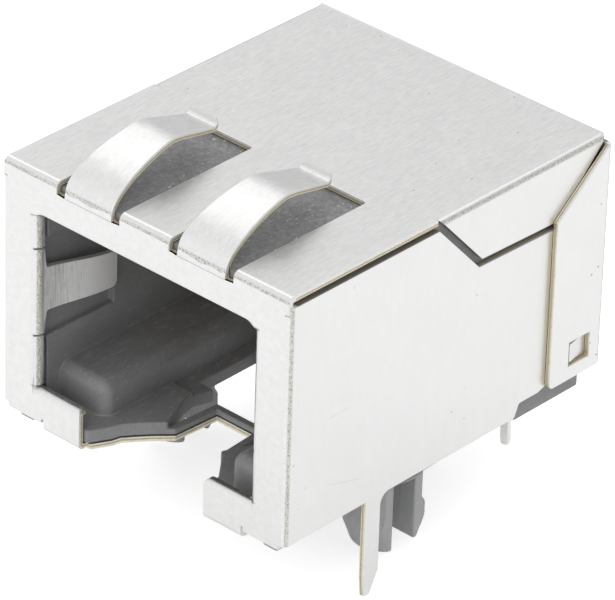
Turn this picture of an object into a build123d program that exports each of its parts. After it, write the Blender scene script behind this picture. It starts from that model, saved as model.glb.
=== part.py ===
from build123d import *
import os

# Ethernet connector: a shielded modular jack that stands on a circuit board with its latch
# side down. X runs across the width, Y back from the front face, Z up from the board.
os.makedirs("parts", exist_ok=True)

# Shield sheet
sheet = 0.25
fold_r = 0.3
shield_half = 7.75
shield_depth = 18.33
shield_top = 11.8
wall_low = 0.6
wall_top_gap = 0.18
top_inset = 0.11

# Front plate
port_half = 6.0
port_low = 1.89
port_high = 10.01
port_corner_r = 0.58
latch_half = 3.41
tab_corner_r = 0.25
tab_lip_back = 0.42
front_low = 0.4
front_low_out_inset = 0.35
front_low_gap = 0.1

# Jambs and the grounding flap in each
jamb_r = 0.4
jamb_reach = 0.2
jamb_back = 0.46
jamb_low = 1.95
jamb_high = 9.8
notch_low = 4.3
notch_high = 8.2
notch_width = 0.08
flap_low = 5.3
flap_low_end = 5.1
flap_high = 7.3
flap_high_end = 6.72
flap_back = 4.22
flap_knee = 3.3
flap_knee_in = 0.34
flap_tip_in = 0.32
flap_tip_out = 0.1
flap_root_r = 0.12
flap_tip_r = 0.25

# Top fingers and the holes that they are cut from
finger_centre = 3.03
finger_slot = 0.44
finger_root_half = 1.265
finger_tip_half = 0.78
finger_hole_back = 7.5
finger_hole_r = 0.15
slot_low = 11.27
arch_rise_y = 0.66
arch_rise_z = 0.56
arch_peak_y = 3.4
arch_peak_z = 1.43
arch_end_y = 6.2
arch_end_z = 0.92
arch_end_fall = 0.24
lip_reach = 0.325
lip_z = 0.24
lip_mid_reach = 0.195
lip_mid_z = 0.029
lip_corner_r = 0.3

# Side walls; a length named ahead is measured forward from the shield's back
wall_ahead = 0.63
step_ahead = 4.83
step_run = 0.26
step_rise = 0.6
rear_step_ahead = 3.43
rear_step_rise = 0.17
rear_step_run = 0.5

# Trapezoid flap folded down from the top on each side
trap_front_top = 8.45
trap_front_low_y = 11.04
trap_front_low_z = 9.04
trap_rear_low_ahead = 2.84
trap_rear_low_z = 8.89
trap_rear_ahead = 0.18
trap_edge_z = 11.5
trap_gap = 0.3

# Solder leg on each side wall
leg_front = 4.7
leg_width = 0.86
leg_tip_z = -3.87
leg_taper = 0.95
leg_tip_width = 0.3
leg_tip_shift = 0.2
leg_root_r = 0.5

# Rear cover and its flanges
cover_gap = 0.015
cover_join_half = 3.95
cover_out = 0.15
cover_low = 1.25
cover_high = 11.42
flange_length = 3.2
flange_corner_z = 9.0
flange_top_inset = 0.18
window_inset = 1.13
window_width = 1.27
window_low = 1.88
window_height = 1.13
catch_height = 0.85
catch_lift = 0.2
catch_clear = 0.12

# U-shaped bottom plate
plate_half = 5.43
plate_back = 6.0
plate_low = 0.02
plate_side = 1.9
plate_waist_x = 3.2
plate_waist_y = 2.9
strap_half = 1.75
strap_front = 3.6
bay_1_y = 1.26
bay_1_x = 2.76
bay_2_y = 1.65
bay_2_x = 2.67
bay_3_y = 2.57
bay_3_x = 1.94
bay_4_y = 3.3
bay_4_x = 1.24
bay_back_x = 1.1
bay_back = 5.53

# Housing
fit_gap = 0.05
house_ahead = 0.33
cavity_inset = 0.05
cavity_roof = 10.3
cavity_ahead = 5.8
stand = 0.15
ledge_top = 2.44
ledge_front = 1.45
ledge_r = 0.55
channel_half = 3.4
floor_top = 0.92
floor_back_top = 0.76
catch_y = 5.45
rail_width = 0.35
rail_top = 0.6
hole_tip_x = 1.42
hole_tip_y = 2.95
hole_side_x = 2.18
hole_side_y = 4.75
hole_catch_x = 2.34
hole_back_half = 2.06
hole_wide_half = 2.86
hole_taper_y = 6.35
hole_end = 9.7
pocket_inset = 0.35
pocket_roof = 11.0
pocket_step = 0.6
wall_recess = 0.3
skirt_inset = 0.2
skirt_length = 6.0
skirt_top = 1.4
slab_front = 2.0
foot_front = 0.35
foot_inset = 0.2
foot_width = 0.75
rear_foot_length = 3.9

# Board pegs
peg_x = 5.715
peg_y = 8.1
peg_r = 1.52
peg_round_low = -0.1
peg_flat = 1.07
peg_slot = 1.26
barb_start_z = -1.7
barb_out = 0.15
barb_z = -1.95
barb_end_z = -2.45
peg_tip_r = 1.34
peg_low = -3.38

# Contacts
contact_count = 8
contact_pitch = 1.02
tail_pitch = 1.27
contact_width = 0.41
contact_thick = 0.25
contact_fold_r = 0.45
contact_z = 10.65
contact_nose_y = 3.0
contact_free_gap = 0.45
contact_free_z = 6.95
contact_slot_gap = 0.1
jog_run = 1.1
jog_ahead = 0.65
tail_ahead = 3.55
tail_row_step = 2.54
tail_low = -3.62
tail_taper = 0.3
tail_tip_width = 0.3
wire_gap = 0.02

# Insert
insert_low = 0.6
comb_reach = 1.15
comb_half = 4.5
comb_low = 5.8
comb_high = 8.0
comb_floor = 0.4

# Half the sheet: the middle line of each folded strip lies this deep
middle = sheet / 2

# Levels that follow from the shield's depth and width and the port's width
wall_back = shield_depth - wall_ahead
step_y = shield_depth - step_ahead
rear_step_y = shield_depth - rear_step_ahead
trap_rear_low_y = shield_depth - trap_rear_low_ahead
trap_rear_top = shield_depth - trap_rear_ahead
cover_back = shield_depth + cover_out
flange_front = cover_back - flange_length
flange_top_y = cover_back - flange_top_inset
window_front = flange_front + window_inset
house_back = shield_depth - house_ahead
cavity_back = house_back - cavity_ahead
pocket_front = cavity_back + pocket_step
contact_free_y = cavity_back - contact_free_gap
tail_row = house_back - tail_ahead
jog_end = tail_row - jog_ahead
jog_start = jog_end - jog_run
house_half = shield_half - sheet - fit_gap
slab_out = house_half - skirt_inset
foot_out = slab_out - foot_inset
front_low_out = shield_half - front_low_out_inset
jamb_in = port_half - jamb_reach
cavity_half = port_half - cavity_inset
pocket_half = cavity_half - pocket_inset


def along_x(sketch, low, high):
    """A sketch drawn as (Y, Z), made solid between two levels of X."""
    side = Plane(origin=(low, 0, 0), x_dir=(0, 1, 0), z_dir=(1, 0, 0))
    return extrude(side * sketch, amount=high - low)


def along_y(sketch, low, high):
    """A sketch drawn as (X, Z), made solid between two levels of Y."""
    front = Plane(origin=(0, high, 0), x_dir=(1, 0, 0), z_dir=(0, -1, 0))
    return extrude(front * sketch, amount=high - low)


def along_z(sketch, low, high):
    """A sketch drawn as (X, Y), made solid between two levels of Z."""
    return extrude(Plane.XY.offset(low) * sketch, amount=high - low)


def block(x_low, x_high, y_low, y_high, z_low, z_high):
    """A square-cornered block between six levels."""
    low_corner = Align.MIN
    size = (x_high - x_low, y_high - y_low, z_high - z_low)
    return Pos(x_low, y_low, z_low) * Box(*size, align=(low_corner, low_corner, low_corner))


def outline(*points):
    """A closed polygon."""
    return make_face(Polyline(*points, close=True))


def rounded(face, radius, *spots):
    """Rounds the corners of an outline that lie nearest to the spots."""
    corners = [face.vertices().sort_by_distance(Vector(*spot))[0] for spot in spots]
    return fillet(corners, radius)


def folded(radius, *points, thick=sheet):
    """A strip seen edge on: its middle line with folds rounded to an outside radius."""
    return trace(FilletPolyline(*points, radius=radius - middle), line_width=thick)


def both_sides(solid):
    """A piece and its mirror image across the width."""
    return solid + mirror(solid, Plane.YZ)


fold_end = fold_r + middle

# Side outline of one wall, with its leg, its rear steps and the notch round the trapezoid flap
wall_high = shield_top - sheet - wall_top_gap
front_slope = (trap_front_low_y - trap_front_top) / (shield_top - trap_front_low_z)
rear_slope = (trap_rear_top - trap_rear_low_y) / (trap_edge_z - trap_rear_low_z)
notch_front_low_z = trap_front_low_z - trap_gap
notch_front_low_y = trap_front_low_y - trap_gap / 2
notch_front_top_y = notch_front_low_y - (wall_high - notch_front_low_z) * front_slope
notch_rear_low_z = trap_rear_low_z - trap_gap
notch_rear_low_y = trap_rear_low_y + trap_gap / 2
notch_rear_z = notch_rear_low_z + (wall_back - notch_rear_low_y) / rear_slope
leg_back = leg_front + leg_width
leg_tip_y = leg_front + leg_width / 2 - leg_tip_shift
leg_taper_z = leg_tip_z + leg_taper
step_back = step_y + step_run
step_z = wall_low + step_rise
rear_step_back = rear_step_y + rear_step_run
rear_step_z = step_z + rear_step_rise
wall_outline = outline(
    (fold_end, wall_low),
    (leg_front, wall_low),
    (leg_front, leg_taper_z),
    (leg_tip_y - leg_tip_width / 2, leg_tip_z),
    (leg_tip_y + leg_tip_width / 2, leg_tip_z),
    (leg_back, leg_taper_z),
    (leg_back, wall_low),
    (step_y, wall_low),
    (step_back, step_z),
    (rear_step_y, step_z),
    (rear_step_back, rear_step_z),
    (wall_back, rear_step_z),
    (wall_back, notch_rear_z),
    (notch_rear_low_y, notch_rear_low_z),
    (notch_front_low_y, notch_front_low_z),
    (notch_front_top_y, wall_high),
    (fold_end, wall_high),
)
wall_outline = rounded(wall_outline, leg_root_r, (leg_back, wall_low))
taper_spots = ((leg_front, leg_taper_z), (leg_back, leg_taper_z))
wall_outline = rounded(wall_outline, leg_tip_width / 4, *taper_spots)
wall_outline = rounded(wall_outline, step_run / 2, (step_y, wall_low), (step_back, step_z))
side_wall = along_x(wall_outline, shield_half - sheet, shield_half)

# The catch is lanced out of the wall, to stand in the window of the rear cover's flange
catch_front = window_front + catch_clear
catch_back = window_front + window_width - catch_clear
catch_mid_z = window_low + window_height / 2
catch_low = catch_mid_z - catch_height / 2
catch_high = catch_mid_z + catch_height / 2
wall_middle = shield_half - middle
wall_in = shield_half - 2 * sheet
wall_out = shield_half + sheet
side_wall -= block(wall_in, wall_out, window_front, catch_back, catch_low, catch_high)
catch_line = Polyline(
    (wall_middle, catch_back + sheet),
    (wall_middle, catch_back),
    (wall_middle + catch_lift, catch_front + catch_clear),
    (wall_middle + catch_lift, catch_front),
)
catch = along_z(trace(catch_line, line_width=sheet), catch_low, catch_high)

# Front plate with its side folds
side_fold_end = fold_end + sheet
side_fold = folded(
    fold_r,
    (wall_middle, side_fold_end),
    (wall_middle, middle),
    (-wall_middle, middle),
    (-wall_middle, side_fold_end),
)
front_plate = along_z(side_fold, wall_low, wall_high)
front_low_in = plate_half + front_low_gap
front_plate += both_sides(block(front_low_in, front_low_out, 0, sheet, front_low, wall_low + sheet))

# The top edge of each tab beside the latch slot is rolled back
tab_lip_middle = port_low - middle
tab_lip_low = port_low - fold_end
tab_lip = folded(
    fold_r, (middle, tab_lip_low), (middle, tab_lip_middle), (tab_lip_back, tab_lip_middle)
)
front_plate -= both_sides(block(latch_half, port_half, -sheet, 2 * sheet, tab_lip_low, port_low))
front_plate += both_sides(along_x(tab_lip, latch_half, port_half))

# Top folded back from the front plate, and the rear cover folded down from the top
top_middle = shield_top - middle
plate_middle = plate_low + middle
cover_middle = cover_back - middle
top_half = shield_half - top_inset
front_fold_low = shield_top - 2 * sheet - fold_r
top_strip = folded(fold_r, (middle, front_fold_low), (middle, top_middle), (shield_depth, top_middle))
top_sheet = along_x(top_strip, -top_half, top_half)
cover_fold = folded(
    fold_r,
    (shield_depth - fold_end, top_middle),
    (cover_middle, top_middle),
    (cover_middle, cover_high - sheet),
)
top_sheet += along_x(cover_fold, -cover_join_half, cover_join_half)

# Trapezoid flaps
trap_fold = folded(
    fold_r,
    (wall_middle, trap_rear_low_z - sheet),
    (wall_middle, top_middle),
    (-wall_middle, top_middle),
    (-wall_middle, trap_rear_low_z - sheet),
)
trap_outline = outline(
    (trap_front_top, shield_top),
    (trap_front_low_y, trap_front_low_z),
    (trap_rear_low_y, trap_rear_low_z),
    (trap_rear_top, trap_edge_z),
    (trap_rear_top, shield_top),
)
trap_outline = rounded(trap_outline, sheet / 2, (trap_front_low_y, trap_front_low_z))
trap_outline = rounded(trap_outline, sheet / 2, (trap_rear_low_y, trap_rear_low_z))
fold_start = shield_half - fold_r
top_relief = block(fold_start, shield_half, trap_front_top, trap_rear_top, wall_high, shield_top)
flaps = along_y(trap_fold, trap_front_top, trap_rear_top)
flaps &= along_x(trap_outline, -shield_half - sheet, shield_half + sheet)

# Rear cover, wrapped round the side walls by its flanges
flange_out = shield_half + cover_gap + sheet
flange_middle = flange_out - middle
cover_wrap = folded(
    fold_r,
    (flange_middle, flange_front),
    (flange_middle, cover_middle),
    (-flange_middle, cover_middle),
    (-flange_middle, flange_front),
)
cover = along_z(cover_wrap, cover_low, cover_high)
flange_outline = outline(
    (flange_front, cover_low),
    (cover_back, cover_low),
    (cover_back, cover_high),
    (flange_top_y, cover_high),
    (flange_front, flange_corner_z),
)
flange_outline = rounded(flange_outline, sheet, (flange_front, cover_low))
cover &= along_x(flange_outline, -flange_out, flange_out)
window_back = window_front + window_width
window_high = window_low + window_height
window_reach = flange_out + sheet
cover -= block(-window_reach, window_reach, window_front, window_back, window_low, window_high)

# U-shaped bottom plate folded back from the two tabs
bottom_strip = folded(
    fold_r, (middle, port_low - sheet), (middle, plate_middle), (plate_back, plate_middle)
)
bottom_plate = along_x(bottom_strip, -plate_half, plate_half)
strap_half_points = (
    (plate_half, -sheet),
    (plate_half, plate_side),
    (plate_waist_x, plate_waist_y),
    (strap_half, strap_front),
    (strap_half, plate_back),
)
strap_left_points = [(-x, y) for x, y in reversed(strap_half_points)]
strap_outline = outline(*strap_half_points, *strap_left_points)
bottom_plate &= along_z(strap_outline, plate_low - sheet, port_low)
bay_half_points = (
    (latch_half, -sheet),
    (latch_half, 0),
    (bay_1_x, bay_1_y),
    (bay_2_x, bay_2_y),
    (bay_3_x, bay_3_y),
    (bay_4_x, bay_4_y),
    (bay_back_x, bay_back),
)
bay_left_points = [(-x, y) for x, y in reversed(bay_half_points)]
bay_outline = outline(*bay_half_points, *bay_left_points)

# Openings of the front plate: the port, its jambs' fold lines and the latch slot
port_outline = outline(
    (-port_half, port_low),
    (port_half, port_low),
    (port_half, port_high),
    (-port_half, port_high),
)
port_outline = rounded(port_outline, port_corner_r, (-port_half, port_high), (port_half, port_high))
port_cut = along_y(port_outline, -sheet, 2 * sheet)
tab_corner_out = latch_half + 2 * tab_corner_r
latch_outline = outline(
    (-tab_corner_out, port_low + sheet),
    (-tab_corner_out, port_low),
    (-latch_half, port_low),
    (-latch_half, plate_low - sheet),
    (latch_half, plate_low - sheet),
    (latch_half, port_low),
    (tab_corner_out, port_low),
    (tab_corner_out, port_low + sheet),
)
latch_outline = rounded(latch_outline, tab_corner_r, (-latch_half, port_low), (latch_half, port_low))
latch_cut = along_y(latch_outline, -sheet, fold_end)
jamb_out = jamb_in + jamb_r
jamb_cut = both_sides(block(port_half - sheet, jamb_out, -sheet, 2 * sheet, jamb_low, jamb_high))

# Jambs: the plate's edge folded into the port, in three stretches
jamb_middle = jamb_in + middle
jamb_line = folded(jamb_r, (jamb_out + sheet, middle), (jamb_middle, middle), (jamb_middle, jamb_back))
jamb_half = along_z(jamb_line, jamb_low, jamb_high)
notch_out = jamb_in + sheet
jamb_half -= block(0, notch_out, -sheet, fold_end + sheet, notch_low - notch_width, notch_low)
jamb_half -= block(0, notch_out, -sheet, fold_end + sheet, notch_high, notch_high + notch_width)

# Grounding flap behind the middle stretch of each jamb
flap_root_low = notch_low
flap_root_high = notch_high
flap_line = Spline(
    (jamb_middle, jamb_r),
    (jamb_middle - flap_knee_in, flap_knee),
    (jamb_middle - flap_tip_in, flap_back),
    tangents=[(0, 1), (flap_tip_out, 1)],
)
flap_body = along_z(trace(flap_line, line_width=sheet), flap_root_low, flap_root_high)
flap_neck = jamb_back + flap_root_r
flap_outline = outline(
    (0, flap_root_low),
    (jamb_back, flap_root_low),
    (flap_neck, flap_low),
    (flap_back, flap_low_end),
    (flap_back, flap_high_end),
    (flap_neck, flap_high),
    (jamb_back, flap_root_high),
    (0, flap_root_high),
)
flap_tips = ((flap_back, flap_low_end), (flap_back, flap_high_end))
flap_outline = rounded(flap_outline, flap_tip_r, *flap_tips)
flap_outline = rounded(flap_outline, flap_root_r, (flap_neck, flap_low), (flap_neck, flap_high))
flap_half = flap_body & along_x(flap_outline, 0, shield_half)

# Fingers: each stands on the front plate, arches over its hole and ends in an upturned lip
root_z = shield_top - fold_r - sheet
arch = Spline(
    (middle, root_z),
    (arch_rise_y, shield_top + arch_rise_z - middle),
    (arch_peak_y, shield_top + arch_peak_z),
    (arch_end_y, shield_top + arch_end_z),
    tangents=[(0, 1), (1, -arch_end_fall)],
)
lip = ThreePointArc(
    arch @ 1,
    (arch_end_y + lip_mid_reach, shield_top + arch_end_z + lip_mid_z),
    (arch_end_y + lip_reach, shield_top + arch_end_z + lip_z),
)
finger_root = Line((middle, slot_low - finger_slot), (middle, root_z))
finger_strip = trace([finger_root, arch, lip], line_width=sheet)
finger_tip_y = arch_end_y + lip_reach + middle
finger_plan = outline(
    (-finger_root_half, -sheet),
    (finger_root_half, -sheet),
    (finger_root_half, sheet),
    (finger_tip_half, arch_end_y),
    (finger_tip_half, finger_tip_y),
    (-finger_tip_half, finger_tip_y),
    (-finger_tip_half, arch_end_y),
    (-finger_root_half, sheet),
)
lip_corners = ((-finger_tip_half, finger_tip_y), (finger_tip_half, finger_tip_y))
finger_plan = rounded(finger_plan, lip_corner_r, *lip_corners)
finger = along_x(finger_strip, -finger_root_half, finger_root_half)
finger &= along_z(finger_plan, slot_low - 2 * finger_slot, shield_top + 2 * arch_peak_z)
hole_half = finger_root_half + finger_slot
hole_outline = outline(
    (-hole_half, -sheet),
    (hole_half, -sheet),
    (hole_half, finger_hole_back),
    (-hole_half, finger_hole_back),
)
hole_corners = ((-hole_half, finger_hole_back), (hole_half, finger_hole_back))
hole_outline = rounded(hole_outline, finger_hole_r, *hole_corners)
finger_hole = along_z(hole_outline, slot_low, shield_top + sheet)

shield = front_plate + top_sheet + bottom_plate
shield -= port_cut + latch_cut
shield -= jamb_cut
shield -= along_z(bay_outline, plate_low - sheet, plate_low + 2 * sheet)
shield += both_sides(jamb_half + flap_half)
shield -= both_sides(top_relief)
shield += flaps
shield += both_sides(side_wall + catch)
shield += cover
for side in (-1, 1):
    shield -= Pos(side * finger_centre, 0, 0) * finger_hole
    shield += Pos(side * finger_centre, 0, 0) * finger

# Housing: outer block and ground slab, then its cavity, latch channel and insert pocket
house_front = sheet + fit_gap
house_low = plate_low + sheet + fit_gap
house_high = shield_top - sheet - fit_gap
housing = block(-house_half, house_half, house_front, house_back, wall_low, house_high)
skirt_front = house_back - skirt_length
housing -= both_sides(block(slab_out, house_half + sheet, skirt_front, house_back + sheet, 0, skirt_top))
housing += block(-slab_out, slab_out, slab_front, house_back, stand, wall_low)
housing += block(-slab_out, slab_out, house_front, slab_front, house_low, wall_low)

# Four feet that stand on the board
foot_in = foot_out - foot_width
rear_foot_front = house_back - rear_foot_length
housing += both_sides(block(foot_in, foot_out, foot_front, slab_front, 0, wall_low))
housing += both_sides(block(foot_in, slab_out, rear_foot_front, house_back, 0, wall_low))
strap_recess = offset(strap_outline, fit_gap, kind=Kind.INTERSECTION)
housing -= along_z(strap_recess, -sheet, house_low)
housing -= block(-cavity_half, cavity_half, 0, cavity_back, floor_top, cavity_roof)
housing -= block(-channel_half, channel_half, catch_y, cavity_back, floor_back_top, ledge_top)
ledge = block(channel_half, cavity_half, ledge_front, cavity_back, floor_back_top, ledge_top)
ledge_edges = ledge.edges().filter_by(Axis.X).group_by(Axis.Y)[0].sort_by(Axis.Z)[-1:]
ledge_edges += ledge.edges().filter_by(Axis.Z).group_by(Axis.Y)[0].sort_by(Axis.X)[:1]
ledge_edges += ledge.edges().filter_by(Axis.Y).group_by(Axis.Z)[-1].sort_by(Axis.X)[:1]
ledge = fillet(ledge_edges, ledge_r)
housing += both_sides(ledge)
recess_out = cavity_half + wall_recess
recess_back = flap_back + wall_recess
recess_low = flap_root_low - wall_recess
recess_high = flap_root_high + wall_recess
housing -= both_sides(block(cavity_half - sheet, recess_out, 0, recess_back, recess_low, recess_high))
jamb_clear = jamb_out + sheet
jamb_recess = jamb_back + wall_recess
jamb_top = jamb_high + wall_recess
housing -= both_sides(block(cavity_half - sheet, jamb_clear, 0, jamb_recess, floor_top, jamb_top))

# Floor: the bay, the hole behind it for the plug's latch and the thin rail between them
housing -= along_z(bay_outline, -sheet, floor_top + sheet)
hole_half_points = (
    (hole_tip_x, hole_tip_y),
    (hole_side_x, hole_side_y),
    (hole_catch_x, catch_y),
    (hole_back_half, hole_taper_y),
    (hole_wide_half, hole_taper_y),
    (hole_wide_half, hole_end),
)
hole_left_points = [(-x, y) for x, y in reversed(hole_half_points)]
floor_hole = outline(*hole_half_points, *hole_left_points)
housing -= along_z(floor_hole, -sheet, floor_top + sheet)
rail_reach = block(-hole_catch_x, hole_catch_x, bay_3_y, bay_back + rail_width, house_low, rail_top)
rail = along_z(offset(bay_outline, rail_width, kind=Kind.INTERSECTION), house_low, rail_top) & rail_reach
housing += rail - along_z(bay_outline, -sheet, floor_top + sheet)
pocket_open = house_back + sheet
cavity_end = cavity_back - sheet
housing -= block(-pocket_half, pocket_half, cavity_end, pocket_open, ledge_top, pocket_roof)
housing -= block(-pocket_half, pocket_half, pocket_front, pocket_open, -sheet, pocket_roof)

# Split peg: a round shank, then flats, a slot, a barb under the board and a tapered end
peg_outline = outline(
    (0, floor_back_top),
    (peg_r, floor_back_top),
    (peg_r, barb_start_z),
    (peg_r + barb_out, barb_z),
    (peg_r + barb_out, barb_end_z),
    (peg_tip_r, peg_low),
    (0, peg_low),
)
peg_face = Plane.XZ * peg_outline
peg = revolve(peg_face, axis=Axis.Z)
peg_reach = peg_r + 2 * barb_out
peg -= both_sides(block(peg_flat, peg_reach, -peg_reach, peg_reach, peg_low - sheet, peg_round_low))
peg -= block(-peg_reach, peg_reach, -peg_slot / 2, peg_slot / 2, peg_low - sheet, peg_round_low)
housing += both_sides(Pos(peg_x, peg_y, 0) * peg)

# Ceiling grooves that the contact wires lie in
groove_top = contact_z + contact_thick / 2 + contact_slot_gap
groove_half = contact_width / 2 + contact_slot_gap
for place in range(contact_count):
    groove_x = (place - (contact_count - 1) / 2) * contact_pitch
    groove_left = groove_x - groove_half
    groove_right = groove_x + groove_half
    groove_low = cavity_roof - sheet
    housing -= block(groove_left, groove_right, contact_nose_y, pocket_front, groove_low, groove_top)


def contact(place, ease):
    """One contact wire, counted from the left, grown all round by an ease.

    Its spring lies in the cavity, it runs back through the insert, and every second tail
    stands in the rear row.
    """
    spring_x = (place - (contact_count - 1) / 2) * contact_pitch
    tail_x = (place - (contact_count - 1) / 2) * tail_pitch
    tail_y = tail_row + (place % 2) * tail_row_step
    half = contact_width / 2 + ease
    thick = contact_thick + 2 * ease
    spring_line = folded(
        contact_fold_r,
        (contact_free_y, contact_free_z),
        (contact_nose_y, contact_z),
        (jog_start, contact_z),
        thick=thick,
    )
    spring = along_x(spring_line, spring_x - half, spring_x + half)
    jog = outline(
        (spring_x - half, jog_start),
        (spring_x + half, jog_start),
        (tail_x + half, jog_end),
        (tail_x - half, jog_end),
    )
    run = along_z(jog, contact_z - thick / 2, contact_z + thick / 2)
    tail_line = folded(
        contact_fold_r, (jog_end, contact_z), (tail_y, contact_z), (tail_y, tail_low), thick=thick
    )
    tail = along_x(tail_line, tail_x - half, tail_x + half)
    tip = outline(
        (tail_x - half, contact_z + thick),
        (tail_x - half, tail_low + tail_taper),
        (tail_x - tail_tip_width / 2, tail_low),
        (tail_x + tail_tip_width / 2, tail_low),
        (tail_x + half, tail_low + tail_taper),
        (tail_x + half, contact_z + thick),
    )
    tail &= along_y(tip, 0, shield_depth)
    return spring + run + tail


# Insert: a block moulded round the wires, with a comb that holds the springs' free ends
insert_half = pocket_half - fit_gap
insert_front = cavity_back + fit_gap
insert_back = house_back - fit_gap
insert_high = pocket_roof - fit_gap
insert = block(-insert_half, insert_half, insert_front, insert_back, insert_low, insert_high)
ledge_clear_y = pocket_front + fit_gap
ledge_clear_z = ledge_top + fit_gap
insert -= block(-insert_half, insert_half, insert_front, ledge_clear_y, insert_low, ledge_clear_z)
comb_front = insert_front - comb_reach
insert += block(-comb_half, comb_half, comb_front, insert_front, comb_low, comb_high)
for place in range(contact_count):
    comb_x = (place - (contact_count - 1) / 2) * contact_pitch
    comb_left = comb_x - groove_half
    comb_right = comb_x + groove_half
    comb_open_y = comb_front - sheet
    comb_open_z = comb_low + comb_floor
    insert -= block(comb_left, comb_right, comb_open_y, insert_front, comb_open_z, comb_high)
    insert -= contact(place, wire_gap)

pieces = {"shield": shield, "housing": housing, "insert": insert}
for place in range(contact_count):
    pieces[f"contact_{place + 1}"] = contact(place, 0)
for name, piece in pieces.items():
    export_step(piece, f"parts/{name}.step")
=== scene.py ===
"""Shielded ethernet connector for a circuit board: finishes, floor, light and camera."""
import math

import bmesh
import bpy
from bpy.props import FloatProperty, FloatVectorProperty, PointerProperty
from mathutils import Matrix, Vector
from mathutils.bvhtree import BVHTree


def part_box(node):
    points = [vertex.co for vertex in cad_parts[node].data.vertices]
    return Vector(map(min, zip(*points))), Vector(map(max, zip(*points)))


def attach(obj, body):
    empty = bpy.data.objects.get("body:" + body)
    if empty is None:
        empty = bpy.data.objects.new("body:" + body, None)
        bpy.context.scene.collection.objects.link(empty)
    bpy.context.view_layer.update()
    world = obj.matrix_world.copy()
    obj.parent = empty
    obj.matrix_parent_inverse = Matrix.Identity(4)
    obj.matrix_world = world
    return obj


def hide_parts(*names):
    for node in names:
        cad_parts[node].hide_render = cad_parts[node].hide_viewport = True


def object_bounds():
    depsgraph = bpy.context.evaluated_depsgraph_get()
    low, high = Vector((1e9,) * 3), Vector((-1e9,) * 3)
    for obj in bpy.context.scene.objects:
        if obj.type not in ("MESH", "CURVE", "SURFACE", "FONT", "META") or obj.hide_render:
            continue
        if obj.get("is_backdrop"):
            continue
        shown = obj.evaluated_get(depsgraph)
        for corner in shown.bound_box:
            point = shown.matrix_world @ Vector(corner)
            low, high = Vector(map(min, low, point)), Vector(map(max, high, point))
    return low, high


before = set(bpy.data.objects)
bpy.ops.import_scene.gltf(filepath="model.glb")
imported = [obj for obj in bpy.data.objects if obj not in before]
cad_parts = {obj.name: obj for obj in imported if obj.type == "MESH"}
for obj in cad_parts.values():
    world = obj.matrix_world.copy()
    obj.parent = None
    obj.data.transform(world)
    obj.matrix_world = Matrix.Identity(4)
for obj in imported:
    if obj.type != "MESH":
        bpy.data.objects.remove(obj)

bl_info = {
    "name": "Ethernet connector",
    "version": (1, 0, 0),
    "blender": (4, 5, 0),
    "location": "3D View > Sidebar > Connector",
    "description": "Finishes the shielded ethernet connector and lights it on a pale floor",
    "category": "Object",
}

MM = 0.001
BODY = "root"
SHIELD_LOW, SHIELD_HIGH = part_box("shield")

# Corners nearer than this are one corner
WELD = MM / 5000
# Edges that turn by more than this are rolled over, where both sides are wide enough for it
STEEP = math.radians(35)
WIDE_ENOUGH = 2.1
# Faces whose normals agree this well lie level, and a normal this close to an axis is square
LEVEL = math.cos(math.radians(0.5))
SQUARE = 0.995
# Metal deeper than this many sheets lies behind a sheared edge
PAST_SHEET = 1.3
# The shield's material slots after the first, and the layer that tells its inner side
FOLD, CUT = 1, 2
DEPTH = "inner"

# Spans that a mask grows over, from none to full, in millimetres: the grounding flaps inside
# the port, then places on the shield's cut edges, then two on the mouldings
FLAP_SIDE = (6.1, 6.0)
FLAP_FRONT = (0.3, 0.5)
FLAP_BACK = (5.2, 5.0)
FLAP_LOW = (4.8, 5.0)
FLAP_HIGH = (10.8, 10.6)
FLAP_PAINTED_LIGHT = (1.0, 3.6)
SLOT_LOW = (8.5, 9.0)
SLOT_HIGH = (11.56, 11.5)
FRONT_ENDS = (0.45, 0.35)
CORNER_SIDE = (7.1, 7.2)
CORNER_LOW = (11.0, 11.1)
FLANGE_HIGH = (9.1, 9.0)
LOW_EDGES = (1.0, 0.8)
FOOT_SIDE = (3.6, 3.7)
PORT_LOW = (1.85, 2.0)
PORT_HIGH = (11.0, 10.8)
PORT_SIDE = (6.4, 6.3)
UPPER_FACES = (10.2, 10.6)
# Below this the pegs are streaked and get painted light
UNDER_BOARD = (0.2, -0.6)

# Worn bands of the folds: how far the side folds have turned there, as middle, reach and core,
# and the reach and core of the front fold's line in millimetres
SIDE_WORN = (0.84, 0.18, 0.08)
FRONT_WORN = (0.17, 0.06)

# Two hairlines on the right side wall, from and to, as (Y, Z)
SCRATCHES = (
    ((1.9 * MM, 5.54 * MM), (3.9 * MM, 5.55 * MM)),
    ((2.1 * MM, 2.56 * MM), (4.7 * MM, 1.83 * MM)),
)

# Each lamp's own setting, the way to it from the aim point, and its width in metres
LAMPS = {
    "soft_lamp": ("lamp", (-0.57, 0.24, 0.79), 0.24),
    "rim_lamp": ("rim", (0.15, 0.64, 0.74), 0.2),
    "fill_lamp": ("fill", (0.3, -0.85, 0.4), 0.3),
}
LAMP_AWAY = 0.45
FLOOR_GAP = 0.01 * MM


# ---------------------------------------------------------------- sizes and colours

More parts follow.
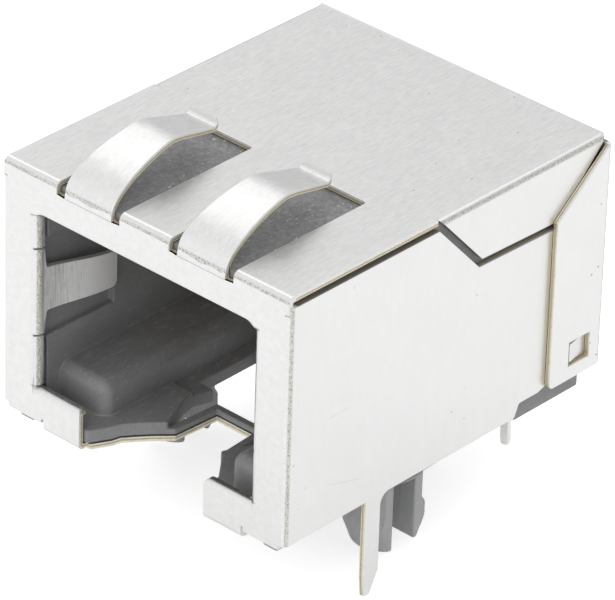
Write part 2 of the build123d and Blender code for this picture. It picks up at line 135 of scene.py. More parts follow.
class ShieldSettings(bpy.types.PropertyGroup):
    """Sizes and colours of the folded metal shield."""

    plating: FloatVectorProperty(
        name="Plating", description="Colour of the bright plating",
        subtype="COLOR", size=3, min=0.0, max=1.0, default=(0.828, 0.83, 0.823))
    brass: FloatVectorProperty(
        name="Raw brass", description="Colour of the sheet where it was cut after plating",
        subtype="COLOR", size=3, min=0.0, max=1.0, default=(0.46, 0.35, 0.16))
    burnish: FloatVectorProperty(
        name="Burnished edge", description="Cream colour of a polished cut edge and of the worn folds",
        subtype="COLOR", size=3, min=0.0, max=1.0, default=(0.86, 0.83, 0.72))
    # Real specks and pits, and also painted shade in the slots round the upper flaps
    stain_and_shade: FloatVectorProperty(
        name="Stain", description="Colour of the specks, the folds' pits and the grey slots",
        subtype="COLOR", size=3, min=0.0, max=1.0, default=(0.2, 0.18, 0.14))
    sheet: FloatProperty(
        name="Sheet", description="Thickness of the sheet",
        subtype="DISTANCE", unit="LENGTH", precision=5, default=0.25 * MM)
    fold: FloatProperty(
        name="Fold", description="Outside radius of the folds that show a cracked band",
        subtype="DISTANCE", unit="LENGTH", precision=5, default=0.3 * MM)
    edge: FloatProperty(
        name="Edge round", description="How far each cut edge is rolled over",
        subtype="DISTANCE", unit="LENGTH", precision=5, default=0.03 * MM)
    shine: FloatProperty(
        name="Roughness", description="Roughness of the plating",
        subtype="FACTOR", min=0.0, max=1.0, default=0.3)
    half_width: FloatProperty(
        name="Half width", description="From the middle to the outside of a side wall",
        subtype="DISTANCE", unit="LENGTH", precision=5, default=7.75 * MM)
    top: FloatProperty(
        name="Top", description="Height of the flat top above the board",
        subtype="DISTANCE", unit="LENGTH", precision=5, default=11.8 * MM)


class MouldingSettings(bpy.types.PropertyGroup):
    """Sizes and colours of the two plastic mouldings."""

    housing: FloatVectorProperty(
        name="Housing", description="Colour of the housing",
        subtype="COLOR", size=3, min=0.0, max=1.0, default=(0.25, 0.25, 0.255))
    insert: FloatVectorProperty(
        name="Insert", description="Colour of the insert that holds the contacts",
        subtype="COLOR", size=3, min=0.0, max=1.0, default=(0.17, 0.17, 0.174))
    # Also lightens the pegs below the board, as painted light
    dust: FloatVectorProperty(
        name="Dust", description="Colour of the dust on the plastic",
        subtype="COLOR", size=3, min=0.0, max=1.0, default=(0.66, 0.67, 0.68))
    edge: FloatProperty(
        name="Edge round", description="Radius of the moulded edges",
        subtype="DISTANCE", unit="LENGTH", precision=5, default=0.07 * MM)
    grain: FloatProperty(
        name="Grain", description="Size of the moulded grain",
        subtype="DISTANCE", unit="LENGTH", precision=5, default=0.06 * MM)


class ContactSettings(bpy.types.PropertyGroup):
    """Sizes and colours of the eight contact wires."""

    gold: FloatVectorProperty(
        name="Gold", description="Colour of the plated spring",
        subtype="COLOR", size=3, min=0.0, max=1.0, default=(0.86, 0.62, 0.26))
    tin: FloatVectorProperty(
        name="Tin", description="Colour of the plated tail",
        subtype="COLOR", size=3, min=0.0, max=1.0, default=(0.95, 0.95, 0.93))
    change: FloatProperty(
        name="Change", description="Distance behind the front face where gold gives way to tin",
        subtype="DISTANCE", unit="LENGTH", precision=5, default=13.2 * MM)
    edge: FloatProperty(
        name="Edge round", description="Radius of the wires' edges",
        subtype="DISTANCE", unit="LENGTH", precision=5, default=0.03 * MM)


class StageSettings(bpy.types.PropertyGroup):
    """The camera, the floor and the light."""

    azimuth: FloatProperty(
        name="Azimuth", description="Turn of the camera round the connector, from the front",
        subtype="ANGLE", unit="ROTATION", default=math.radians(41.98))
    elevation: FloatProperty(
        name="Elevation", description="Height of the camera above the horizon",
        subtype="ANGLE", unit="ROTATION", default=math.radians(30.97))
    roll: FloatProperty(
        name="Roll", description="Tilt of the camera about its own axis",
        subtype="ANGLE", unit="ROTATION", default=math.radians(1.80))
    aim: FloatVectorProperty(
        name="Aim", description="Point that the middle of the picture looks at",
        subtype="TRANSLATION", size=3, default=(1.031 * MM, 8.372 * MM, 5.428 * MM))
    distance: FloatProperty(
        name="Distance", description="Distance from the camera to that point",
        subtype="DISTANCE", unit="LENGTH", default=230.3 * MM)
    lens: FloatProperty(
        name="Lens", description="Focal length in millimetres", default=339.3)
    floor: FloatVectorProperty(
        name="Floor", description="Colour of the floor",
        subtype="COLOR", size=3, min=0.0, max=1.0, default=(0.86, 0.86, 0.86))
    floor_size: FloatProperty(
        name="Floor size", description="Width of the floor",
        subtype="DISTANCE", unit="LENGTH", default=1.6)
    glow: FloatProperty(
        name="Floor glow", description="Light that the floor adds where the camera sees it",
        default=0.62)
    mirrored: FloatProperty(
        name="Mirrored glow", description="Light that the floor adds where metal mirrors it",
        default=0.265)
    sky: FloatProperty(
        name="Room light", description="Strength of the light from all round", default=0.86)
    lamp: FloatProperty(
        name="Lamp", description="Power of the soft lamp overhead on the left in watts", default=0.085)
    rim: FloatProperty(
        name="Rim", description="Power of the soft lamp behind on the right in watts", default=0.05)
    fill: FloatProperty(
        name="Fill", description="Power of the soft lamp beside the camera in watts", default=0.15)


# ---------------------------------------------------------------- material nodes

class Finish:
    """One material and the nodes that make its surface."""

    def __init__(self, name, metallic):
        self.material = bpy.data.materials.new(name)
        self.material.use_nodes = True
        self.tree = self.material.node_tree
        self.shader = self.tree.nodes["Principled BSDF"]
        self.shader.inputs["Metallic"].default_value = metallic
        self.shader.inputs["IOR"].default_value = 1.5
        self.place = self.add("ShaderNodeTexCoord").outputs["Object"]

    def add(self, kind, **values):
        """A node with some of its settings."""
        node = self.tree.nodes.new(kind)
        for name, value in values.items():
            setattr(node, name, value)
        return node

    def feed(self, socket, value):
        """A link or a plain value for one socket."""
        if isinstance(value, bpy.types.NodeSocket):
            self.tree.links.new(value, socket)
        elif hasattr(value, "__len__"):
            plain = tuple(value)
            socket.default_value = plain if len(plain) == len(socket.default_value) else (*plain, 1.0)
        else:
            socket.default_value = value

    def math(self, operation, first, second=0.0, third=0.0):
        """One sum."""
        node = self.add("ShaderNodeMath", operation=operation)
        for socket, value in zip(node.inputs, (first, second, third)):
            self.feed(socket, value)
        return node.outputs[0]

    def stretched(self, size, stretch):
        """The object's own coordinates in units of a size, stretched along each axis."""
        node = self.add("ShaderNodeMapping")
        self.feed(node.inputs["Vector"], self.place)
        node.inputs["Scale"].default_value = [1.0 / (size * factor) for factor in stretch]
        return node.outputs[0]

    def noise(self, size, detail=2.0, roughness=0.5, stretch=(1.0, 1.0, 1.0)):
        """Cloudy noise whose blobs are about as large as the size, stretched along each axis."""
        node = self.add("ShaderNodeTexNoise")
        self.feed(node.inputs["Vector"], self.stretched(size, stretch))
        node.inputs["Scale"].default_value = 1.0
        node.inputs["Detail"].default_value = detail
        node.inputs["Roughness"].default_value = roughness
        return node.outputs["Fac"]

    def dots(self, size, cover, stretch=(1.0, 1.0, 1.0)):
        """Scattered dots: a few of the cells, each about the size across, hold one."""
        node = self.add("ShaderNodeTexVoronoi")
        self.feed(node.inputs["Vector"], self.stretched(size, stretch))
        node.inputs["Scale"].default_value = 1.0
        shade = self.add("ShaderNodeSeparateColor")
        self.feed(shade.inputs[0], node.outputs["Color"])
        chosen = self.math("LESS_THAN", shade.outputs[0], cover)
        reach = self.math("MULTIPLY_ADD", shade.outputs[1], 0.25, 0.12)
        near = self.ramp(self.math("DIVIDE", node.outputs["Distance"], reach), 1.0, 0.7)
        return self.math("MULTIPLY", chosen, near)

    def ramp(self, value, start, full):
        """0 up to the start, 1 from the full value on and smooth in between, rising or falling."""
        node = self.add("ShaderNodeMapRange", interpolation_type="SMOOTHSTEP")
        for socket, given in zip(node.inputs, (value, start, full)):
            self.feed(socket, given)
        return node.outputs[0]

    def span(self, place, ends):
        """A mask of the place along one axis, which grows between the two ends of a span."""
        start, full = ends
        return self.ramp(place, start * MM, full * MM)

    def times(self, *masks):
        """Masks, heights or levels multiplied together."""
        total = masks[0]
        for mask in masks[1:]:
            total = self.math("MULTIPLY", total, mask)
        return total

    def around(self, value, middle, reach, core):
        """1 within the core of a middle value and 0 beyond the reach."""
        away = self.math("ABSOLUTE", self.math("SUBTRACT", value, middle))
        return self.ramp(away, reach, core)

    def blend(self, factor, first, second, kind="MIX"):
        """Two colours mixed by a factor."""
        node = self.add("ShaderNodeMix", data_type="RGBA", blend_type=kind)
        self.feed(node.inputs[0], factor)
        self.feed(node.inputs[6], first)
        self.feed(node.inputs[7], second)
        return node.outputs[2]

    def facing(self, axis):
        """How squarely the surface faces along one axis of the connector, either way."""
        parts = self.add("ShaderNodeSeparateXYZ")
        self.feed(parts.inputs[0], self.add("ShaderNodeNewGeometry").outputs["Normal"])
        return self.math("ABSOLUTE", parts.outputs[axis])

    def along(self, axis):
        """Place along one axis of the connector, in metres."""
        parts = self.add("ShaderNodeSeparateXYZ")
        self.feed(parts.inputs[0], self.place)
        return parts.outputs[axis]

    def scratch(self, start, end, width):
        """A hairline on the right side wall between two places, each given as (Y, Z)."""
        length = math.dist(start, end)
        run, rise = (end[0] - start[0]) / length, (end[1] - start[1]) / length
        back = self.math("SUBTRACT", self.along(1), start[0])
        high = self.math("SUBTRACT", self.along(2), start[1])
        gone = self.math("MULTIPLY_ADD", high, rise, self.math("MULTIPLY", back, run))
        off = self.math("MULTIPLY_ADD", high, run, self.math("MULTIPLY", back, -rise))
        bow = self.math("SINE", self.math("MULTIPLY", gone, 3 / length))
        off = self.math("MULTIPLY_ADD", bow, width, off)
        near = self.ramp(self.math("ABSOLUTE", off), width, 0.3 * width)
        middle = self.math("ABSOLUTE", self.math("SUBTRACT", gone, length / 2))
        return self.math("MULTIPLY", near, self.ramp(middle, length / 2, length / 4))

    def relief(self, *layers):
        """Bumps: each layer is a height map and its depth in metres."""
        normal = None
        for height, depth in layers:
            node = self.add("ShaderNodeBump")
            node.inputs["Distance"].default_value = depth
            self.feed(node.inputs["Height"], height)
            if normal is not None:
                self.feed(node.inputs["Normal"], normal)
            normal = node.outputs[0]
        self.feed(self.shader.inputs["Normal"], normal)

    def coat(self, colour, roughness):
        """Gives the surface its colour and roughness."""
        self.feed(self.shader.inputs["Base Color"], colour)
        self.feed(self.shader.inputs["Roughness"], roughness)
        return self.material


def plated_finish(look):
    """Bright plating on brushed sheet, with cloudy patches, faint scratches and small specks.

    The grounding flaps inside the port are rougher and streaked from top to bottom, with painted light
    that grows further back.
    """
    skin = Finish("plated_skin", metallic=1.0)
    across = skin.math("ABSOLUTE", skin.along(0))
    back, high = skin.along(1), skin.along(2)
    level = skin.ramp(skin.facing(2), 0.55, 0.8)
    front = skin.ramp(skin.facing(1), 0.7, 0.9)
    right = skin.ramp(skin.along(0), look.half_width - look.sheet, look.half_width)
    flap = skin.times(
        skin.span(across, FLAP_SIDE), skin.span(back, FLAP_FRONT), skin.span(back, FLAP_BACK),
        skin.span(high, FLAP_LOW), skin.span(high, FLAP_HIGH))

    lines_top = skin.noise(0.055 * MM, 2.0, 0.6, (1.0, 9.0, 4.0))
    lines_side = skin.noise(0.07 * MM, 3.0, 0.65, (5.0, 5.0, 26.0))
    lines = skin.blend(level, lines_side, lines_top)
    pressed = skin.noise(0.07 * MM, 3.0, 0.65, (2.0, 1.0, 30.0))
    cloud = skin.noise(2.4 * MM, 3.0, 0.6)
    mottle = skin.noise(0.32 * MM, 4.0, 0.65)
    streak = skin.ramp(skin.noise(0.1 * MM, 2.0, 0.5, (1.0, 20.0, 20.0)), 0.68, 0.8)
    specks = skin.dots(0.2 * MM, 0.006)
    glints = skin.dots(0.24 * MM, 0.012)

    shade = skin.math("MULTIPLY_ADD", cloud, 0.06, 0.96)
    # Painted light: the flaps' colour is lightened, more so further back along them
    deeper = skin.math("MULTIPLY_ADD", skin.span(back, FLAP_PAINTED_LIGHT), 0.25, 0.1)
    shade = skin.math("MULTIPLY_ADD", flap, deeper, shade)
    uneven = skin.math("MULTIPLY_ADD", front, 0.16, 0.06)
    uneven = skin.math("MULTIPLY_ADD", flap, 0.2, uneven)
    shade = skin.math("MULTIPLY_ADD", skin.math("SUBTRACT", mottle, 0.5), uneven, shade)
    brushed = skin.math("MULTIPLY_ADD", level, 0.3, 0.05)
    shade = skin.math("MULTIPLY_ADD", skin.math("SUBTRACT", lines, 0.5), brushed, shade)
    pressed = skin.times(skin.math("SUBTRACT", pressed, 0.5), flap)
    shade = skin.math("MULTIPLY_ADD", pressed, 0.9, shade)
    shade = skin.math("MULTIPLY_ADD", streak, -0.04, shade)
    for start, end in SCRATCHES:
        line = skin.times(right, skin.scratch(start, end, look.edge))
        shade = skin.math("MULTIPLY_ADD", line, -0.1, shade)

    colour = skin.blend(1.0, look.plating, shade, "MULTIPLY")
    # White dots painted on as glints: painted highlights
    colour = skin.blend(skin.times(glints, 0.25), colour, (1.0, 1.0, 1.0))
    colour = skin.blend(skin.times(specks, 0.6), colour, look.stain_and_shade)
    roughness = skin.math("MULTIPLY_ADD", mottle, 0.12, look.shine - 0.06)
    roughness = skin.math("MULTIPLY_ADD", lines, 0.1, roughness)
    roughness = skin.math("MULTIPLY_ADD", flap, 0.35, roughness)
    skin.relief((lines, 0.004 * MM), (mottle, 0.008 * MM))
    return skin.coat(colour, roughness)


def cracked_finish(look):
    """The same plating on a fold: bright where it starts, dull and finely cracked further down."""
    band = Finish("plated_fold", metallic=1.0)
    rough = band.noise(0.1 * MM, 4.0, 0.7)
    pits = band.ramp(band.noise(0.06 * MM, 2.0, 0.6), 0.5, 0.62)
    blotch = band.ramp(band.noise(0.2 * MM, 3.0, 0.6), 0.42, 0.62)
    side = band.around(band.facing(0), *SIDE_WORN)
    front = band.ramp(band.along(1), SHIELD_LOW.y + 2 * look.fold, SHIELD_LOW.y + 1.5 * look.fold)
    reach, core = (length * MM for length in FRONT_WORN)
    line = band.around(band.along(2), look.top - 0.85 * look.fold, reach, core)
    worn = band.math("MAXIMUM", side, band.times(front, line))

    shade = band.math("MULTIPLY_ADD", rough, 0.36, 0.78)
    shade = band.math("MULTIPLY_ADD", worn, -0.16, shade)
    colour = band.blend(1.0, look.plating, shade, "MULTIPLY")
    colour = band.blend(band.times(worn, 0.25), colour, look.burnish)
    colour = band.blend(band.times(blotch, worn, 0.12), colour, look.brass)
    colour = band.blend(band.times(pits, worn, 0.6), colour, look.stain_and_shade)
    band.relief((band.times(rough, worn), 0.02 * MM), (band.times(pits, worn), -0.01 * MM))
    dull = band.times(rough, band.math("MULTIPLY_ADD", worn, 0.25, 0.08))
    return band.coat(colour, band.math("ADD", dull, look.shine - 0.02))


def cut_finish(look):
    """The sheared edge: plating drawn over its outer half, then a line of bare brass, then cream.

    The cover's flanges and the lowest edges show less plating. The slots round the upper flaps
    are painted dark grey as painted shade, and the port's edge, the corners of the front and its
    foot are plated.
    """
    cut = Finish("cut_brass", metallic=0.4)
    across = cut.math("ABSOLUTE", cut.along(0))
    back, high = cut.along(1), cut.along(2)
    ends = cut.span(back, FRONT_ENDS)
    low = cut.span(high, LOW_EDGES)
    flange = cut.ramp(across, look.half_width, look.half_width + 0.02 * MM)
    wall = cut.ramp(across, look.half_width - 1.5 * look.sheet, look.half_width - look.sheet)
    # Where the slots round the upper flaps get painted shade, dark with the stain colour
    slot = cut.times(
        wall, cut.math("SUBTRACT", 1.0, flange), cut.span(high, SLOT_LOW), cut.span(high, SLOT_HIGH))
    corner = cut.times(ends, cut.span(across, CORNER_SIDE), cut.span(high, CORNER_LOW))
    foot = cut.times(ends, low, cut.span(across, FOOT_SIDE))
    port = cut.times(cut.span(high, PORT_LOW), cut.span(high, PORT_HIGH), cut.span(across, PORT_SIDE))
    upright = cut.times(flange, cut.span(high, FLANGE_HIGH))

    torn = cut.noise(0.1 * MM, 3.0, 0.65)
    patches = cut.ramp(cut.noise(0.5 * MM, 3.0, 0.6), 0.52, 0.66)
    deep = cut.add("ShaderNodeAttribute", attribute_name=DEPTH).outputs["Fac"]
    deep = cut.math("ADD", deep, cut.math("MULTIPLY_ADD", torn, 0.3, -0.15))
    line = cut.around(deep, 0.6, cut.math("MULTIPLY_ADD", upright, 0.2, 0.22), 0.1)
    bare = cut.math("MAXIMUM", cut.times(patches, 0.3), cut.times(line, 0.8))
    kept = cut.math("MULTIPLY_ADD", cut.math("MAXIMUM", upright, low), -0.8, 1.0)

    colour = cut.blend(bare, look.burnish, look.brass)
    colour = cut.blend(cut.times(cut.ramp(deep, 0.5, 0.3), kept), colour, look.plating)
    # Painted shade in the slots
    colour = cut.blend(cut.times(slot, 0.9), colour, look.stain_and_shade)
    colour = cut.blend(port, colour, [0.8 * tone for tone in look.plating])
    colour = cut.blend(cut.math("MAXIMUM", corner, foot), colour, look.plating)
    colour = cut.blend(cut.times(cut.ramp(torn, 0.58, 0.74), 0.2), colour, look.stain_and_shade)
    cut.relief((torn, 0.02 * MM))
    return cut.coat(colour, cut.math("MULTIPLY_ADD", torn, 0.3, 0.25))


def moulded_finish(look, name, base):
    """Dark plastic with fine grain, scuffs from front to back and pale dust.

    The upper faces, seen through the finger holes, are patchy and hold most of the dust. The
    pegs below the board's level are painted paler with the dust colour, as painted light, and
    streaked from top to bottom.
    """
    plastic = Finish(name, metallic=0.0)
    high = plastic.along(2)
    up = plastic.ramp(plastic.facing(2), 0.7, 0.9)
    top = plastic.times(up, plastic.span(high, UPPER_FACES))
    below = plastic.span(high, UNDER_BOARD)

    grain = plastic.noise(look.grain, 3.0, 0.6)
    flow = plastic.noise(1.5 * MM, 3.0, 0.6, (1.0, 2.5, 1.0))
    pull = plastic.noise(0.1 * MM, 2.0, 0.6, (1.0, 1.0, 25.0))
    patch = plastic.noise(0.25 * MM, 3.0, 0.7)
    scuff = plastic.ramp(plastic.noise(0.12 * MM, 4.0, 0.7, (1.0, 4.0, 1.0)), 0.5, 0.75)
    dust = plastic.dots(0.12 * MM, 0.11)
    lint = plastic.dots(0.2 * MM, 0.07, (1.0, 1.4, 1.0))

    shade = plastic.math("MULTIPLY_ADD", flow, 0.5, 0.5)
    shade = plastic.math("MULTIPLY_ADD", grain, 0.5, shade)
    pull = plastic.times(plastic.math("SUBTRACT", pull, 0.5), below)
    shade = plastic.math("MULTIPLY_ADD", pull, 0.9, shade)
    patch = plastic.times(plastic.math("SUBTRACT", patch, 0.5), top)
    shade = plastic.math("MULTIPLY_ADD", patch, 1.4, shade)
    colour = plastic.blend(1.0, base, shade, "MULTIPLY")
    scuffs_and_painted_light = plastic.times(scuff, plastic.math("MULTIPLY_ADD", up, 0.18, 0.12))
    # Painted light: the pegs below the board are lightened with the dust colour
    scuffs_and_painted_light = plastic.math("MULTIPLY_ADD", below, 0.34, scuffs_and_painted_light)
    colour = plastic.blend(scuffs_and_painted_light, colour, look.dust)
    dusty = plastic.math("MULTIPLY_ADD", top, 0.8, 0.15)
    colour = plastic.blend(plastic.times(dust, dusty), colour, look.dust)
    colour = plastic.blend(plastic.times(lint, dusty), colour, look.dust)
    plastic.relief((grain, 0.008 * MM), (dust, 0.01 * MM))
    return plastic.coat(colour, plastic.math("MULTIPLY_ADD", grain, 0.2, 0.38))


def wire_finish(look):
    """Contact wire: gold at the spring, tin at the tail, drawn along its length."""
    wire = Finish("contact_plating", metallic=1.0)
    drawn = wire.noise(0.05 * MM, 3.0, 0.6, (1.0, 14.0, 14.0))
    cloud = wire.noise(0.6 * MM, 3.0, 0.6)
    tail = wire.ramp(wire.along(1), look.change - 0.3 * MM, look.change + 0.3 * MM)
    shade = wire.math("MULTIPLY_ADD", cloud, 0.3, 0.8)
    colour = wire.blend(tail, look.gold, look.tin)
    colour = wire.blend(1.0, colour, shade, "MULTIPLY")
    wire.relief((drawn, 0.004 * MM))
    return wire.coat(colour, wire.math("MULTIPLY_ADD", drawn, 0.2, 0.16))


# ---------------------------------------------------------------- meshes

def welded(node):
    """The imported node's mesh with its corners joined."""
    work = bmesh.new()
    work.from_mesh(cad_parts[node].data)
    bmesh.ops.remove_doubles(work, verts=work.verts, dist=WELD)
    work.normal_update()
    return work


def flat_parts(work, leave=()):
    """For each face, the list of faces that lie level with it and are joined to it."""
    parts = {}
    for start in work.faces:
        if start in parts or start in leave:
            continue
        faces = [start]
        parts[start] = faces
        for face in faces:
            for other in {each for edge in face.edges for each in edge.link_faces}:
                free = other not in parts and other not in leave
                if free and other.normal.dot(start.normal) > LEVEL:
                    parts[other] = faces
                    faces.append(other)
    return parts


def reach(edge, faces):
    """How far a flat part reaches from one of its edges."""
    start, end = (corner.co for corner in edge.verts)
    run = (end - start).normalized()
    return max((corner.co - start).cross(run).length for face in faces for corner in face.verts)


def eased(work, width):
    """Rolls over the steep edges that have room for it and returns the faces that this makes.

    A corner that is thrown off the surface goes back to it.
    """
    surface = BVHTree.FromBMesh(work)
    parts = flat_parts(work)
    steep = [edge for edge in work.edges if edge.calc_face_angle() > STEEP]
    roomy = [
        edge for edge in steep
        if min(reach(edge, parts[face]) for face in edge.link_faces) > WIDE_ENOUGH * width]
    made = bmesh.ops.bevel(
        work, geom=roomy, offset=width, offset_type="OFFSET", segments=2,
        profile=0.5, affect="EDGES", clamp_overlap=False, material=-1)
    for corner in work.verts:
        nearest, _, _, away = surface.find_nearest(corner.co)
        if away > width:
            corner.co = nearest
    work.normal_update()
    return set(made["faces"])


def shading(work, rolled):
    """One normal for each corner, from the widest flat parts that meet there."""
    parts = flat_parts(work, rolled)
    areas = {}
    for faces in parts.values():
        if id(faces) not in areas:
            areas[id(faces)] = sum(face.calc_area() for face in faces)
    normals = []
    for corner in work.verts:
        flat = {id(parts[face]): face.normal for face in corner.link_faces if face in parts}
        widest = max((areas[each] for each in flat), default=0.0)
        kept = [normal * areas[each] for each, normal in flat.items() if areas[each] > widest / 4]
        if not kept:
            kept = [face.normal * face.calc_area() for face in corner.link_faces]
        total = sum(kept, Vector())
        normals.append(total.normalized() if total.length else corner.normal)
    return normals


def placed(work, rolled, name, node, slot, *materials):
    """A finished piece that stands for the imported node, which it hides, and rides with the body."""
    normals = shading(work, rolled)
    mesh = bpy.data.meshes.new(name)
    work.to_mesh(mesh)
    work.free()
    for material in materials:
        mesh.materials.append(material)
    mesh.shade_smooth()
    mesh.normals_split_custom_set_from_vertices(normals)
    piece = bpy.data.objects.new(name, mesh)
    bpy.context.scene.collection.objects.link(piece)
    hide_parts(node)
    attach(piece, BODY)
    return piece


def in_fold(face, look):
    """True on the round of the shield's outer folds and of the port's turned edges."""
    middle = face.calc_center_median()
    turn = face.normal
    if max(abs(turn.x), abs(turn.y), abs(turn.z)) > SQUARE:
        return False
    reach = look.fold + look.edge
    side = abs(middle.x) > look.half_width - reach
    front = middle.y < SHIELD_LOW.y + reach
    back = middle.y > SHIELD_HIGH.y - reach
    top = look.top - reach < middle.z < look.top + look.edge
    low = abs(middle.z) < reach
    port = front and middle.z < look.top - 2 * reach
    return port or sum((side, front or back, top or low)) > 1


def is_cut(face, faces, walls, look):
    """True on a sheared edge: there the metal behind the face is deeper than the sheet."""
    start = face.calc_center_median() - face.normal * look.edge / 10
    depth = walls.ray_cast(start, -face.normal)[3]
    if depth is None:
        raise RuntimeError("the shield's mesh isn't closed")
    narrow = max(reach(edge, faces) for edge in face.edges) < look.edge
    return depth > look.sheet * PAST_SHEET and not narrow


def is_inner(corner):
    """True at a corner of the sheet's inner side, whose plated faces look at the middle."""
    middle = (SHIELD_LOW + SHIELD_HIGH) / 2
    skins = [face for face in corner.link_faces if face.material_index != CUT]
    turn = sum((face.normal * face.calc_area() for face in skins), Vector())
    return turn.dot(corner.co - middle) < 0


# ---------------------------------------------------------------- operators

class ShieldOperator(bpy.types.Operator):
    """Finish the shield: plating, dull cracked folds and raw brass where the sheet was cut"""

    bl_idname = "connector.shield"
    bl_label = "Shield"

    def execute(self, context):
        look = context.scene.connector_shield
        work = welded("shield")
        inner = work.verts.layers.float.new(DEPTH)
        walls = BVHTree.FromBMesh(work)
        parts = flat_parts(work)
        for face in work.faces:
            if is_cut(face, parts[face], walls, look):
                face.material_index = CUT
            elif in_fold(face, look):
                face.material_index = FOLD
        for corner in work.verts:
            corner[inner] = float(is_inner(corner))
        rolled = eased(work, look.edge)
        placed(work, rolled, "folded_shield", "shield", "plated_sheet",
               plated_finish(look), cracked_finish(look), cut_finish(look))
        return {"FINISHED"}


class HousingOperator(bpy.types.Operator):
    """Finish the housing, which carries the plug's ledges, the floor and the board pegs"""

    bl_idname = "connector.housing"
    bl_label = "Housing"

    def execute(self, context):
        look = context.scene.connector_moulding
        work = welded("housing")
        rolled = eased(work, look.edge)
        placed(work, rolled, "moulded_housing", "housing", "black_moulding",
               moulded_finish(look, "housing_plastic", look.housing))
        return {"FINISHED"}


class InsertOperator(bpy.types.Operator):
    """Finish the insert that is moulded round the contact wires"""

    bl_idname = "connector.insert"
    bl_label = "Insert"

    def execute(self, context):
        look = context.scene.connector_moulding
        material = moulded_finish(look, "insert_plastic", look.insert)
        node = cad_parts["insert"]
        node.data.materials.clear()
        node.data.materials.append(material)
        return {"FINISHED"}


class ContactsOperator(bpy.types.Operator):
    """Finish the eight contact wires"""

    bl_idname = "connector.contacts"
    bl_label = "Contacts"

    def execute(self, context):
        look = context.scene.connector_contact
        material = wire_finish(look)
        wires = [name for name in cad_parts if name.startswith("contact_")]
        if not wires:
            raise RuntimeError("the frame holds no contact wires")
        for name in sorted(wires):
            work = welded(name)
            rolled = eased(work, look.edge)
            wire = name.replace("contact", "wire")
            placed(work, rolled, wire, name, "contact_wire", material)
        return {"FINISHED"}


class StageOperator(bpy.types.Operator):
    """Lay the floor, light it softly and set the camera"""

    bl_idname = "connector.stage"
    bl_label = "Stage"

    def execute(self, context):
        look = context.scene.connector_stage
        lay_floor(look)
        light_room(look)
        set_camera(look)
        context.scene.view_settings.view_transform = "Standard"
        return {"FINISHED"}


def lay_floor(look):
    """A wide pale floor under the tips of the tails; it is clear from below."""
    half = look.floor_size / 2
    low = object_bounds()[0][2] - FLOOR_GAP
    mesh = bpy.data.meshes.new("floor")
    corners = [(-half, -half, low), (half, -half, low), (half, half, low), (-half, half, low)]
    mesh.from_pydata(corners, [], [(0, 1, 2, 3)])
    floor = bpy.data.objects.new("floor", mesh)
    bpy.context.scene.collection.objects.link(floor)
    paper = Finish("floor_paper", metallic=0.0)
    grain = paper.noise(1.2 * MM, 3.0, 0.6)
    shade = paper.math("MULTIPLY_ADD", grain, 0.02, 0.99)
    colour = paper.blend(1.0, look.floor, shade, "MULTIPLY")
    paper.coat(colour, 0.7)
    paper.shader.inputs["Specular IOR Level"].default_value = 0.1
    rays = paper.add("ShaderNodeLightPath").outputs
    seen = paper.math("MAXIMUM", rays["Is Camera Ray"], rays["Is Transmission Ray"])
    seen = paper.math("MULTIPLY", seen, look.glow)
    glow = paper.add("ShaderNodeEmission")
    paper.feed(glow.inputs["Strength"],
               paper.math("MULTIPLY_ADD", rays["Is Glossy Ray"], look.mirrored, seen))
    lit = paper.add("ShaderNodeAddShader")
    paper.feed(lit.inputs[0], paper.shader.outputs[0])
    paper.feed(lit.inputs[1], glow.outputs[0])
    under = paper.add("ShaderNodeMixShader")
    paper.feed(under.inputs[0], paper.add("ShaderNodeNewGeometry").outputs["Backfacing"])
    paper.feed(under.inputs[1], lit.outputs[0])
    paper.feed(under.inputs[2], paper.add("ShaderNodeBsdfTransparent").outputs[0])
    paper.feed(paper.tree.nodes["Material Output"].inputs["Surface"], under.outputs[0])
    mesh.materials.append(paper.material)
    floor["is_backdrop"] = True


def light_room(look):
    """Light from all round, stronger in front and weaker low at the back, and three soft lamps."""
    world = bpy.data.worlds.new("room")
    world.use_nodes = True
    tree = world.node_tree
    place = tree.nodes.new("ShaderNodeSeparateXYZ")
    tree.links.new(tree.nodes.new("ShaderNodeTexCoord").outputs["Generated"], place.inputs[0])

    def grown(axis, start, full, most):
        """A level that grows with the direction along one axis, from nothing to the most."""
        node = tree.nodes.new("ShaderNodeMapRange")
        node.interpolation_type = "SMOOTHSTEP"
        tree.links.new(place.outputs[axis], node.inputs[0])
        for socket, value in zip(node.inputs[1:5], (start, full, 0.0, most)):
            socket.default_value = value
        return node.outputs[0]

    def joined(operation, first, second):
        """One level made of two."""
        node = tree.nodes.new("ShaderNodeMath")
        node.operation = operation
        tree.links.new(first, node.inputs[0])
        if isinstance(second, float):
            node.inputs[1].default_value = second
        else:
            tree.links.new(second, node.inputs[1])
        return node.outputs[0]

    front = grown(1, 0.0, -0.7, 0.14)
    low_back = joined("MULTIPLY", grown(1, 0.2, 0.8, 0.3), grown(2, 0.55, 0.2, 1.0))
    level = joined("ADD", joined("SUBTRACT", front, low_back), look.sky)
    room = tree.nodes["Background"].inputs
    room["Color"].default_value = (1.0, 1.0, 1.0, 1.0)
    tree.links.new(level, room["Strength"])
    bpy.context.scene.world = world
    for name, (setting, away, size) in LAMPS.items():
        hang_lamp(name, look, getattr(look, setting), Vector(away), size)


def hang_lamp(name, look, power, away, size):
    """A round lamp that points at the connector from one side."""
    lamp = bpy.data.lights.new(name, "AREA")
    lamp.shape = "DISK"
    lamp.size = size
    lamp.energy = power
    holder = bpy.data.objects.new(name, lamp)
    away = away.normalized()
    holder.location = Vector(look.aim) + away * LAMP_AWAY
    holder.rotation_euler = away.to_track_quat("Z", "Y").to_euler()
    bpy.context.scene.collection.objects.link(holder)


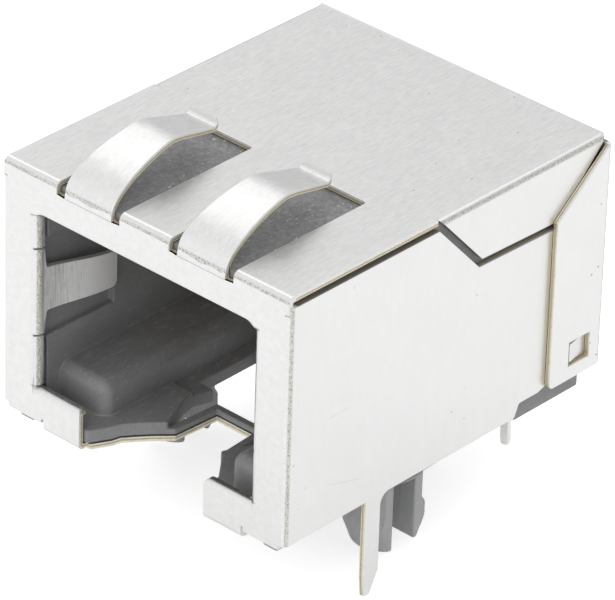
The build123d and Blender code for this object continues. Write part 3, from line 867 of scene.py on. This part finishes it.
def set_camera(look):
    """The camera on its line through the aim point, tilted a little about that line."""
    turn, rise = look.azimuth, look.elevation
    back = Vector((
        math.sin(turn) * math.cos(rise), -math.cos(turn) * math.cos(rise), math.sin(rise)))
    level = Vector((math.cos(turn), math.sin(turn), 0.0))
    up = back.cross(level)
    right = level * math.cos(look.roll) + up * math.sin(look.roll)
    up = up * math.cos(look.roll) - level * math.sin(look.roll)
    axes = Matrix((right, up, back)).transposed()
    camera = bpy.data.cameras.new("camera")
    camera.lens = look.lens
    camera.clip_start = look.distance / 100
    camera.clip_end = look.distance * 100
    holder = bpy.data.objects.new("camera", camera)
    holder.matrix_world = Matrix.Translation(Vector(look.aim) + back * look.distance) @ axes.to_4x4()
    bpy.context.scene.collection.objects.link(holder)
    bpy.context.scene.camera = holder


# ---------------------------------------------------------------- panel

class ConnectorPanel(bpy.types.Panel):
    """Lists the steps that finish the connector, with their settings."""

    bl_idname = "VIEW3D_PT_connector"
    bl_label = "Ethernet connector"
    bl_space_type = "VIEW_3D"
    bl_region_type = "UI"
    bl_category = "Connector"

    def draw(self, context):
        scene = context.scene
        groups = (
            (scene.connector_shield, (ShieldOperator,)),
            (scene.connector_moulding, (HousingOperator, InsertOperator)),
            (scene.connector_contact, (ContactsOperator,)),
            (scene.connector_stage, (StageOperator,)),
        )
        for settings, steps in groups:
            box = self.layout.box()
            for step in steps:
                box.operator(step.bl_idname)
            for name in type(settings).__annotations__:
                box.prop(settings, name)


CLASSES = (
    ShieldSettings,
    MouldingSettings,
    ContactSettings,
    StageSettings,
    ShieldOperator,
    HousingOperator,
    InsertOperator,
    ContactsOperator,
    StageOperator,
    ConnectorPanel,
)
SETTINGS = {
    "connector_shield": ShieldSettings,
    "connector_moulding": MouldingSettings,
    "connector_contact": ContactSettings,
    "connector_stage": StageSettings,
}


def register():
    """Adds the classes and gives the scene their settings."""
    for each in CLASSES:
        bpy.utils.register_class(each)
    for name, group in SETTINGS.items():
        setattr(bpy.types.Scene, name, PointerProperty(type=group))


def unregister():
    """Takes the settings and the classes away again."""
    for name in SETTINGS:
        delattr(bpy.types.Scene, name)
    for each in reversed(CLASSES):
        bpy.utils.unregister_class(each)


def main():
    """Runs every step in order."""
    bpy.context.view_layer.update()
    register()
    bpy.ops.connector.shield()
    bpy.ops.connector.housing()
    bpy.ops.connector.insert()
    bpy.ops.connector.contacts()
    bpy.ops.connector.stage()


if __name__ == "__main__":
    main()
